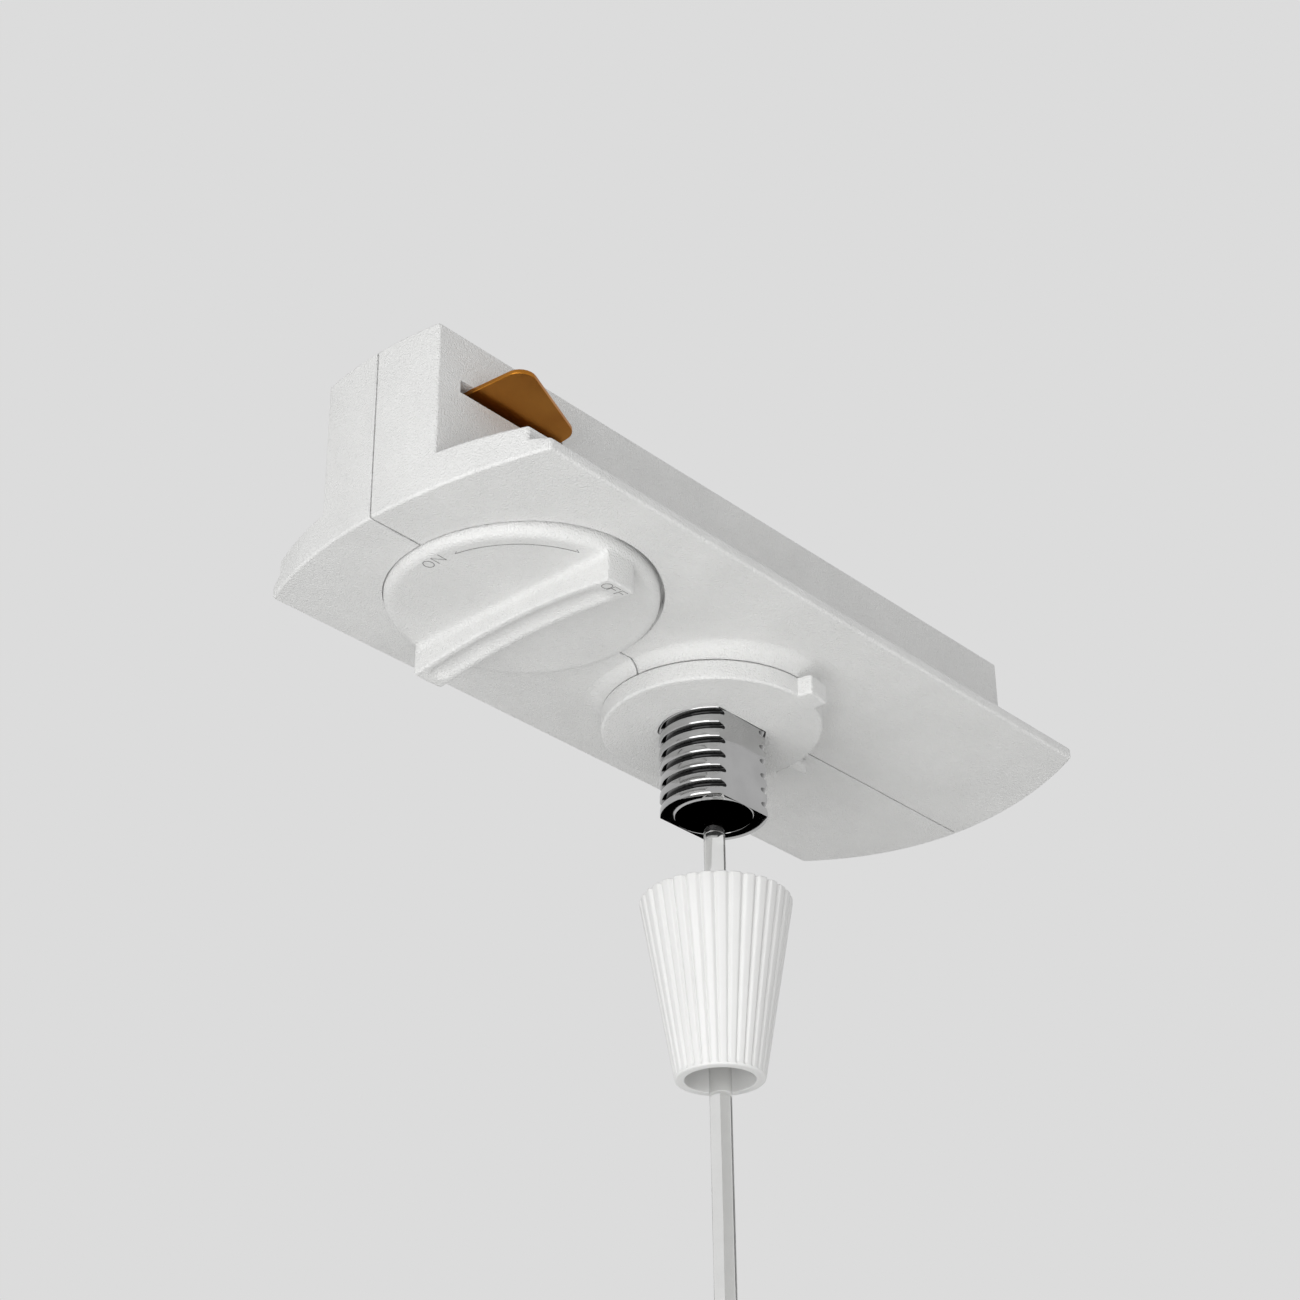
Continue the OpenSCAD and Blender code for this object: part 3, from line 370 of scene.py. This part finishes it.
def blend_ring_foot(bm):
    """Lets the round ring's fillet run out on the crowned underside, instead of in a low step."""
    foot_z = RING_Z + RING_FILLET
    foot = []
    for v in bm.verts:
        out = math.hypot(v.co.x - CORD_X, v.co.y) - RING_R
        under_z = JOINT_Z + v.co.y ** 2 / (2 * CROWN_R)
        if not (-NEAR < out < RING_FILLET + NEAR and RING_Z - NEAR < v.co.z < SKIN_Z):
            continue
        if under_z > foot_z and v.co.z < under_z - WELD:
            v.co.z += (under_z - foot_z) * ((v.co.z - RING_Z) / RING_FILLET) ** 2
        if out > RING_FILLET - NEAR:
            foot.append(v)
    bmesh.ops.remove_doubles(bm, verts=foot, dist=FOOT_WELD)
    thin = dict.fromkeys(edge for v in foot if v.is_valid for edge in v.link_edges)
    bmesh.ops.dissolve_degenerate(bm, dist=FOOT_SLIVER, edges=list(thin))


def soften(node, name, material, groups):
    """Copy of a CAD node whose outer edges are rounded.

    groups is a list of (radius, segments, shortest, test): test picks convex edges by their middle
    point, and an edge under the shortest length stays sharp.
    """
    bm = bmesh.new()
    bm.from_mesh(frame["nodes"][node].data)
    bmesh.ops.remove_doubles(bm, verts=bm.verts, dist=CAD_WELD)
    if node.startswith("housing"):
        blend_ring_foot(bm)
    bmesh.ops.remove_doubles(bm, verts=bm.verts, dist=SLIVER_WELD)
    bmesh.ops.dissolve_limit(bm, angle_limit=FLAT_TURN, verts=bm.verts, edges=bm.edges)
    for radius, segments, shortest, test in groups:
        chosen = [e for e in bm.edges
                  if e.is_manifold and e.is_convex and e.calc_face_angle() > EDGE_TURN
                  and e.calc_length() > shortest
                  and test((e.verts[0].co + e.verts[1].co) / 2)]
        bmesh.ops.bevel(bm, geom=chosen, offset=radius, offset_type="OFFSET", segments=segments,
                        profile=0.5, affect="EDGES", clamp_overlap=False, material=-1)
    piece = made_piece(bm, name, material)
    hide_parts(node)
    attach(piece, frame["nodes"][node]["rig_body"])
    return piece


def ring_solid(name, node, material, profile, angles):
    """Closed solid round the cord's axis: one ring of points, extruded through the profile's steps."""
    bm = bmesh.new()
    ring = [bm.verts.new((CORD_X + math.cos(a), math.sin(a), 0)) for a in angles]
    edges = [bm.edges.new((ring[i - 1], ring[i])) for i in range(len(ring))]
    for step, (radius_at, z) in enumerate(profile + profile[:1]):
        if step:
            made = bmesh.ops.extrude_edge_only(bm, edges=edges)["geom"]
            ring = [v for v in made if isinstance(v, bmesh.types.BMVert)]
            edges = [e for e in made if isinstance(e, bmesh.types.BMEdge)]
        for v in ring:
            angle = math.atan2(v.co.y, v.co.x - CORD_X)
            v.co = (CORD_X + radius_at(angle) * math.cos(angle), radius_at(angle) * math.sin(angle), z)
    bmesh.ops.remove_doubles(bm, verts=bm.verts, dist=WELD)
    bmesh.ops.recalc_face_normals(bm, faces=bm.faces)
    piece = made_piece(bm, name, material)
    shade(piece)
    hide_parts(node)
    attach(piece, frame["nodes"][node]["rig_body"])
    return piece


def plain(r):
    """Radius of a round ring."""
    return lambda angle: r


def make_collar(material):
    """Swivel collar: a disc with its stop lug, its spigot and captive rim, and a hole with two flats."""
    angles = sorted([2 * math.pi * i / 180 - math.pi for i in range(180)]
                    + [LUG_ANGLE + math.radians(0.4) * k for k in range(-24, 25)])

    def outline(inset):
        def radius_at(angle):
            turn = abs(angle - LUG_ANGLE)
            disc = COLLAR_R - inset
            if turn > LUG_REACH:
                return disc
            front = (COLLAR_R + LUG_OUT - inset) / math.cos(turn)
            flank = (LUG_W / 2 - inset) / max(math.sin(turn), 1e-4)
            lug = (front ** -LUG_CORNER + flank ** -LUG_CORNER) ** (-1 / LUG_CORNER)
            return max(disc, lug)
        return radius_at

    def hole(angle):
        return min(HOLE_R, HOLE_FLAT / max(abs(math.sin(angle)), 1e-4))

    profile = [(hole, COLLAR_Z)]
    for k in range(5):
        turn = math.pi / 2 * k / 4
        profile.append((outline(COLLAR_ROUND * (1 - math.sin(turn))),
                        COLLAR_Z + COLLAR_ROUND * (1 - math.cos(turn))))
    profile += [(outline(0), COLLAR_TOP_Z - COLLAR_CHAMFER), (outline(COLLAR_CHAMFER), COLLAR_TOP_Z),
                (plain(SPIGOT_R), COLLAR_TOP_Z), (plain(SPIGOT_R), KEEP_Z), (plain(KEEP_R), KEEP_Z),
                (plain(KEEP_R), NIPPLE_HEAD_Z), (hole, NIPPLE_HEAD_Z)]
    return ring_solid("collar", "swivel_collar", material, profile, angles)


def make_cone(material):
    """Cone with flat-topped ribs: soft valleys that run out just above the narrow end."""
    samples = 12
    angles = [2 * math.pi * i / (RIBS * samples) for i in range(RIBS * samples)]
    slope = (CONE_TOP_R - CONE_TIP_R) / (CONE_TOP_Z - CONE_TIP_Z)

    def ribbed(z, valley, inset=0.0):
        rib_r = CONE_TIP_R + slope * (z - CONE_TIP_Z) - inset
        deep = valley * RIB_DEEP * rib_r / CONE_TOP_R

        def radius_at(angle):
            place = abs((angle * RIBS / (2 * math.pi) + 0.5) % 1 - 0.5) * 2
            into = max(0.0, (place - RIB_FLAT) / (1 - RIB_FLAT))
            return rib_r - deep * (1 - math.cos(math.pi * into)) / 2
        return radius_at

    low, high = CONE_TIP_Z, CONE_TOP_Z
    profile = [(plain(SOCKET_R), high), (plain(SOCKET_R), SEAT_Z), (plain(CONE_BORE_R), SEAT_Z),
               (plain(CONE_BORE_R), low + 0.06 * MM), (plain(CONE_BORE_R + 0.06 * MM), low),
               (plain(CONE_TIP_R - 0.2 * MM), low), (plain(CONE_TIP_R - 0.06 * MM), low + 0.05 * MM),
               (ribbed(low + 0.14 * MM, 0.0, 0.01 * MM), low + 0.14 * MM)]
    for rise, valley in ((0.2, 0.25), (0.28, 0.6), (0.38, 0.9), (0.55, 1.0)):
        profile.append((ribbed(low + rise * MM, valley), low + rise * MM))
    for share in (0.2, 0.4, 0.6, 0.8):
        z = low + share * (high - low)
        profile.append((ribbed(z, 1.0), z))
    for drop, inset in ((0.2, 0.0), (0.08, 0.03), (0.02, 0.09), (0.0, 0.16)):
        profile.append((ribbed(high - drop * MM, 1.0, inset * MM), high - drop * MM))
    return ring_solid("cone", "ribbed_cone", material, profile, angles)


def baked(piece, modifier):
    """Makes a modifier's result the piece's own mesh."""
    bpy.context.view_layer.update()
    shown = piece.evaluated_get(bpy.context.evaluated_depsgraph_get())
    result = bpy.data.meshes.new_from_object(shown)
    piece.modifiers.remove(modifier)
    piece.data = result


def make_knob(material):
    """Knob from its CAD solid, remade in small even faces and smoothed, so every edge is softly round."""
    knob = link_object("knob", frame["nodes"]["lock_knob"].data.copy(), material)
    bm = bmesh.new()
    bm.from_mesh(knob.data)
    bmesh.ops.remove_doubles(bm, verts=bm.verts, dist=CAD_WELD)
    bmesh.ops.scale(bm, verts=bm.verts, vec=(1 / MM, 1 / MM, 1 / MM))
    bm.to_mesh(knob.data)
    bm.free()
    remesh = knob.modifiers.new("remesh", "REMESH")
    remesh.mode = "VOXEL"
    remesh.voxel_size = KNOB_VOXEL / MM
    baked(knob, remesh)
    bm = bmesh.new()
    bm.from_mesh(knob.data)
    for _ in range(KNOB_SMOOTHING):
        bmesh.ops.smooth_vert(bm, verts=bm.verts, factor=0.5, use_axis_x=True, use_axis_y=True,
                              use_axis_z=True)
    bmesh.ops.scale(bm, verts=bm.verts, vec=(MM, MM, MM))
    bm.to_mesh(knob.data)
    bm.free()
    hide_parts("lock_knob")
    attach(knob, frame["nodes"]["lock_knob"]["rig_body"])
    return knob


def stroke(curve, points, closed=False):
    """Adds a line through these points to a curve."""
    spline = curve.splines.new("POLY")
    spline.points.add(len(points) - 1)
    spline.use_cyclic_u = closed
    for point, at in zip(spline.points, points):
        point.co = (*at, 1)


def round_curve(name, radius, resolution, material):
    """Empty curve object that draws its lines as round rods of this radius."""
    curve = bpy.data.curves.new(name, "CURVE")
    curve.dimensions = "3D"
    curve.bevel_depth = radius
    curve.bevel_resolution = resolution
    curve.use_fill_caps = True
    curve.materials.append(material)
    rod = bpy.data.objects.new(name, curve)
    bpy.context.scene.collection.objects.link(rod)
    return rod


def letter_lines(letter, at, right, up, size):
    """The strokes of one plain capital, placed by its lower left corner and two directions."""
    wide = 0.78
    rounded = [(0.5 * wide * (1 + math.cos(t * math.pi / 10)), 0.5 + 0.5 * math.sin(t * math.pi / 10))
               for t in range(20)]
    lines = {"O": [rounded], "N": [[(0, 0), (0, 1), (wide, 0), (wide, 1)]],
             "F": [[(0, 0), (0, 1), (0.8 * wide, 1)], [(0, 0.54), (0.7 * wide, 0.54)]]}[letter]
    return [[at + (right * x + up * y) * size for x, y in line] for line in lines]


def make_lettering(material):
    """ON with its arc and arrow ticks on the knob's face, and OFF on the end of the grip bar."""
    def face(y):
        return KNOB_FACE_Z

    def bar_bottom(y):
        return BAR_Z + BAR_ARCH * (1 - (y / BAR_END_R) ** 2)

    def polar(r, degrees):
        return Vector((KNOB_X + r * math.cos(math.radians(degrees)), r * math.sin(math.radians(degrees))))

    def write(text, corners, right, up, size, face_z):
        for letter, corner in zip(text, corners):
            for line in letter_lines(letter, corner, right, up, size):
                stroke(lettering.data, [(p.x, p.y, face_z(p.y)) for p in line], letter == "O")

    lettering = round_curve("lettering", STROKE_R, 1, material)
    write("ON", [Vector((KNOB_X - ON_R, y * MM)) for y in (1.1, -0.12)],
          Vector((0, -1)), Vector((-1, 0)), ON_SIZE, face)
    arc = [polar(ARC_R, degrees) for degrees in range(-168, -106, 2)]
    arc = [polar(ARC_R + 0.22 * MM, -166.5)] + arc + [polar(ARC_R + 0.3 * MM, -110)]
    stroke(lettering.data, [(p.x, p.y, face(p.y)) for p in arc])
    write("OFF", [Vector((KNOB_X + x * MM, OFF_Y)) for x in (-1.25, -0.35, 0.55)],
          Vector((1, 0)), Vector((0, -1)), OFF_SIZE, bar_bottom)
    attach(lettering, frame["nodes"]["lock_knob"]["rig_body"])


def shade(piece):
    """Smooth shading with sharp edges kept, and normals weighted by face area."""
    piece.data.shade_smooth()
    piece.data.set_sharp_from_angle(angle=SMOOTH_TURN)
    weighted = piece.modifiers.new("weighted", "WEIGHTED_NORMAL")
    weighted.keep_sharp = True


def curve_crown(shell):
    """Gives the crowned underside the normals of its real curve, so that none of its strips shows."""
    baked(shell, shell.modifiers["weighted"])
    mesh = shell.data
    normals = [corner.vector.copy() for corner in mesh.corner_normals]
    for face in mesh.polygons:
        for corner in face.loop_indices:
            at = mesh.vertices[mesh.loops[corner].vertex_index].co
            crown = Vector((0, at.y / CROWN_R, -1)).normalized()
            on_crown = abs(at.z - JOINT_Z - at.y ** 2 / (2 * CROWN_R)) < 2 * NEAR
            if on_crown and face.normal.angle(crown) < CROWN_TURN:
                normals[corner] = crown
    mesh.normals_split_custom_set(normals)


def make_camera():
    """The camera of the photograph, fitted to the object's edges."""
    yaw, pitch, roll = (math.radians(a) for a in CAMERA_TURN)
    ahead = Vector((math.cos(pitch) * math.cos(yaw), math.cos(pitch) * math.sin(yaw), math.sin(pitch)))
    level = ahead.cross(Vector((0, 0, 1))).normalized()
    upward = level.cross(ahead)
    right = math.cos(roll) * level + math.sin(roll) * upward
    up = math.cos(roll) * upward - math.sin(roll) * level
    data = bpy.data.cameras.new("camera")
    data.lens = CAMERA_LENS
    data.clip_start = 0.01
    data.clip_end = 20
    camera = bpy.data.objects.new("camera", data)
    place = Matrix((right, up, -ahead)).transposed().to_4x4()
    place.translation = Vector(CAMERA_MM) * MM
    camera.matrix_world = place
    bpy.context.scene.collection.objects.link(camera)
    bpy.context.scene.camera = camera


def seen_directly(tree):
    """One for rays of the camera, mirrors and clear parts, and nought for rays that carry soft light."""
    path = add(tree, "ShaderNodeLightPath").outputs
    seen = add(tree, "ShaderNodeMath", {0: path["Is Camera Ray"], 1: path["Is Glossy Ray"]},
               operation="MAXIMUM")
    shown = add(tree, "ShaderNodeMath", {0: seen.outputs[0], 1: path["Is Transmission Ray"]},
                operation="MAXIMUM")
    return shown.outputs[0]


def make_world():
    """Soft sky light, and a plain pale backdrop for what the camera and the mirrors see."""
    world = bpy.data.worlds.new("world")
    bpy.context.scene.world = world
    world.use_nodes = True
    tree = world.node_tree
    tree.nodes.clear()
    light = add(tree, "ShaderNodeBackground", {"Color": colour("#FFFFFF"), "Strength": SKY_LIGHT})
    backdrop = add(tree, "ShaderNodeBackground", {"Color": colour("#DCDCDC"), "Strength": 1.0})
    mix = add(tree, "ShaderNodeMixShader", {0: seen_directly(tree), 1: light.outputs[0],
                                            2: backdrop.outputs[0]})
    add(tree, "ShaderNodeOutputWorld", {"Surface": mix.outputs[0]})


def area_lamp(name, place, size, power):
    """Square lamp that shines on the connector's middle."""
    data = bpy.data.lights.new(name, "AREA")
    data.size = size
    data.energy = power
    lamp = bpy.data.objects.new(name, data)
    lamp.location = place
    aim = Vector(LAMP_AIM) - lamp.location
    lamp.rotation_euler = aim.to_track_quat("-Z", "Y").to_euler()
    bpy.context.scene.collection.objects.link(lamp)


def card(name, place, size, facing, tone, mirrors):
    """Flag that only the clear cord shows, and the mirrors too if asked: level, or upright and turned."""
    bpy.ops.mesh.primitive_plane_add(size=size, location=place)
    flag = bpy.context.object
    flag.name = name
    if facing:
        flag.rotation_euler = (math.pi / 2, 0, facing - math.pi / 2)
    flag.visible_camera = flag.visible_diffuse = flag.visible_shadow = False
    flag.visible_glossy = mirrors
    material, tree = new_material(name)
    finish_material(tree, {"Base Color": colour(tone), "Roughness": 1.0, "Specular IOR Level": 0.0})
    flag.data.materials.append(material)


def make_stage():
    """Pale floor far below the hanging part, and the flags round it."""
    bpy.ops.mesh.primitive_plane_add(size=8, location=(0, 0, -1.0))
    floor = bpy.context.object
    floor.name = "floor"
    material, tree = new_material("pale_floor")
    lift = add(tree, "ShaderNodeMath", {0: seen_directly(tree), 1: FLOOR_GLOW}, operation="MULTIPLY")
    finish_material(tree, {"Base Color": colour("#DADAD9"), "Roughness": 0.8,
                           "Emission Color": colour("#FFFFFF"), "Emission Strength": lift.outputs[0]})
    floor.data.materials.append(material)
    card("black_card", (0.34, 0.3, -0.34), 0.7, 0.0, "#050505", mirrors=True)
    card("dark_flag", (-0.1, 0.34, 0.15), 0.24, math.radians(107), "#454545", mirrors=False)
    card("grey_flag", (0.033, 0.052, -0.034), 0.05, math.radians(61), "#BEBEBD", mirrors=False)


def make_cord(material):
    """The hanging cord, from the nipple's mouth to just outside the picture, and its end in the bore."""
    for name, path in (("hanging_cord", CORD_PATH),
                       ("cord_in_bore", [(CORD_X, 0, CORD_TOP_Z), (CORD_X, 0, NIPPLE_MOUTH_Z)])):
        cord = round_curve(name, CORD_R, 8, material)
        stroke(cord.data, path)
        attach(cord, "swivel")
        if name == "hanging_cord":
            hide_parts("cord_sheath")


def make_nipple(material):
    """Threaded nipple: a spun section whose thread valleys have rounded lips, cut by two flats."""
    edge = NIPPLE_EDGE
    section = [(NIPPLE_BORE_R, NIPPLE_TOP_Z), (NIPPLE_BORE_R, NIPPLE_MOUTH_Z + 2 * edge),
               (NIPPLE_BORE_R + 0.6 * edge, NIPPLE_MOUTH_Z + 0.6 * edge),
               (NIPPLE_BORE_R + 2 * edge, NIPPLE_MOUTH_Z), (NIPPLE_R - edge, NIPPLE_MOUTH_Z),
               (NIPPLE_R - 0.3 * edge, NIPPLE_MOUTH_Z + 0.3 * edge), (NIPPLE_R, NIPPLE_MOUTH_Z + edge)]
    # One groove: depth under the crest and height from its middle, in mm
    valley = [(0, -0.47), (0.01, -0.41), (0.05, -0.36), (0.12, -0.32), (0.42, -0.22), (0.51, -0.15),
              (0.55, -0.06), (0.55, 0.06), (0.51, 0.15), (0.42, 0.22), (0.12, 0.32), (0.05, 0.36),
              (0.01, 0.41), (0, 0.47)]
    for i in range(GROOVES):
        middle = FIRST_GROOVE_Z + i * THREAD_PITCH
        section += [(NIPPLE_R - deep * MM, middle + rise * MM) for deep, rise in valley]
    section += [(NIPPLE_R, NIPPLE_HEAD_Z), (NIPPLE_HEAD_R, NIPPLE_HEAD_Z), (NIPPLE_HEAD_R, NIPPLE_TOP_Z)]
    bm = bmesh.new()
    corners = [bm.verts.new((r, 0, z)) for r, z in section]
    edges = [bm.edges.new((corners[i], corners[(i + 1) % len(corners)])) for i in range(len(corners))]
    bmesh.ops.spin(bm, geom=corners + edges, cent=(0, 0, 0), axis=(0, 0, 1), angle=2 * math.pi,
                   steps=NIPPLE_STEPS, use_merge=True)
    bmesh.ops.remove_doubles(bm, verts=bm.verts, dist=WELD)
    bmesh.ops.recalc_face_normals(bm, faces=bm.faces)
    for side in (-1, 1):
        below = [f for f in bm.faces if max(v.co.z for v in f.verts) <= NIPPLE_HEAD_Z + WELD]
        corners = dict.fromkeys(v for f in below for v in f.verts)
        edges = dict.fromkeys(e for f in below for e in f.edges)
        parts = [*corners, *edges, *below]
        cut = bmesh.ops.bisect_plane(bm, geom=parts, dist=WELD / 2, plane_co=(0, side * FLAT_Y, 0),
                                     plane_no=(0, side, 0), clear_outer=True)
        rim = [e for e in cut["geom_cut"] if isinstance(e, bmesh.types.BMEdge)]
        bmesh.ops.triangle_fill(bm, edges=rim, use_beauty=True, normal=(0, side, 0))
    open_edges = [e for e in bm.edges if e.is_boundary]
    if open_edges:
        bmesh.ops.holes_fill(bm, edges=open_edges, sides=0)
    bmesh.ops.recalc_face_normals(bm, faces=bm.faces)
    bmesh.ops.translate(bm, verts=bm.verts, vec=(CORD_X, 0, 0))
    nipple = made_piece(bm, "nipple", material)
    shade(nipple)
    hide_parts("threaded_nipple")
    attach(nipple, "swivel")


def outside_housing(p):
    """True on the shells' outer skin: seam, hollow, knob hole, ring and blade slot stay as they are."""
    seam = abs(p.y) < SEAM_MARGIN
    inside = abs(p.y) < HOLLOW_Y and abs(p.x) < HOLLOW_X and HOLLOW_LOW_Z < p.z < HOLLOW_TOP_Z
    below = p.z < UNDERSIDE_Z
    knob_hole = below and math.hypot(p.x - KNOB_X, p.y) < RECESS_R + HOLE_MARGIN
    round_ring = below and math.hypot(p.x - CORD_X, p.y) < RING_R + RING_MARGIN
    nub = below and NUB_LOW_X < p.x < NUB_HIGH_X and abs(p.y) < NUB_HALF_Y
    slot = abs(p.x) < SLOT_X and SLOT_LOW_Z < p.z < HOLLOW_TOP_Z
    return not (seam or inside or knob_hole or round_ring or nub or slot)


def on_seam(p):
    """True where the two shells meet on the outer skin."""
    outer = p.z < SEAM_LOW_Z or abs(p.x) > SLOT_X or p.z > SEAM_TOP_Z
    return abs(p.y) < SEAM_HALF_Y and outer and math.hypot(p.x - CORD_X, p.y) > RING_R


def under_nub(p):
    """True round the underside of the stop nub, the only place so low on a shell."""
    return p.z < NUB_UNDER_Z


def on_blade_tip(p):
    """True on the part of a blade that comes out of the neck."""
    return abs(p.y) > BLADE_OUT_Y


def dress_nodes(finishes):
    """Gives each shown CAD node the finish of its slot."""
    slots = {row["node"]: row["material_slot"] for row in frame["record"]["subparts"]}
    for node, piece in frame["nodes"].items():
        piece.data.materials.clear()
        piece.data.materials.append(finishes[slots[node]])


finishes = {
    "housing_plastic": grained_abs("housing_abs", "#DEDEDD", "#E4E4E3", 0.5),
    "knob_plastic": grained_abs("knob_abs", "#DEDEDD", "#E4E4E3", 0.48),
    "cone_plastic": smooth_polypropylene("cone_polypropylene"),
    "inner_plastic": plain_moulding("glass_filled_polyamide", "#2B2B2E", "#37373A", 0.55),
    "natural_nylon": plain_moulding("natural_nylon", "#D9D5C6", "#E2DED0", 0.4),
    "blade_brass": stamped_brass("stamped_brass"),
    "terminal_brass": plain_metal("machined_brass", "#C9A24F", "#D2AD5C", 0.3),
    "plated_steel": plain_metal("zinc_plated_steel", "#C3C5C7", "#CDCFD1", 0.3),
    "spring_steel": plain_metal("rolled_spring_steel", "#A9AEB4", "#B4B9BF", 0.28),
    "nipple_chrome": polished_chrome("turned_chrome"),
    "clear_sheath": clear_pvc("clear_pvc"),
    "core_insulation": plain_moulding("core_insulation", "#CFCFCD", "#D8D8D6", 0.35),
}

# Each rounding's radius, segments and shortest edge, and the test that picks its edges
shell_edges = [(0.28 * MM, 3, 0.45 * MM, outside_housing), (0.06 * MM, 2, 0.02 * MM, on_seam),
               (0.1 * MM, 2, 0.3 * MM, under_nub)]
blade_edges = [(0.07 * MM, 2, 0.05 * MM, on_blade_tip)]

make_camera()
make_cord(finishes["clear_sheath"])
make_world()
make_stage()
area_lamp("left", (-0.431, -0.112, -0.1), 0.35, 0.88)
area_lamp("left_under", (-0.23, -0.112, -0.383), 0.4, 0.98)
area_lamp("front", (0.055, -0.559, -0.22), 0.5, 0.44)
dress_nodes(finishes)

for side in ("front", "rear"):
    shell = soften("housing_" + side, side + "_shell", finishes["housing_plastic"], shell_edges)
    shade(shell)
    curve_crown(shell)
    blade = soften(side + "_contact", side + "_blade", finishes["blade_brass"], blade_edges)
    shade(blade)
knob = make_knob(finishes["knob_plastic"])
shade(knob)
# Painted shade: the engraved lettering is drawn as thin grey rods, whose grey stands in for the shade
# inside the engraved lines
make_lettering(plain_moulding("engraving_painted_shade", "#7C7C7B", "#868685", 0.6))
make_collar(finishes["housing_plastic"])
make_cone(finishes["cone_plastic"])
make_nipple(finishes["nipple_chrome"])

view = bpy.context.scene.view_settings
view.view_transform = "Standard"
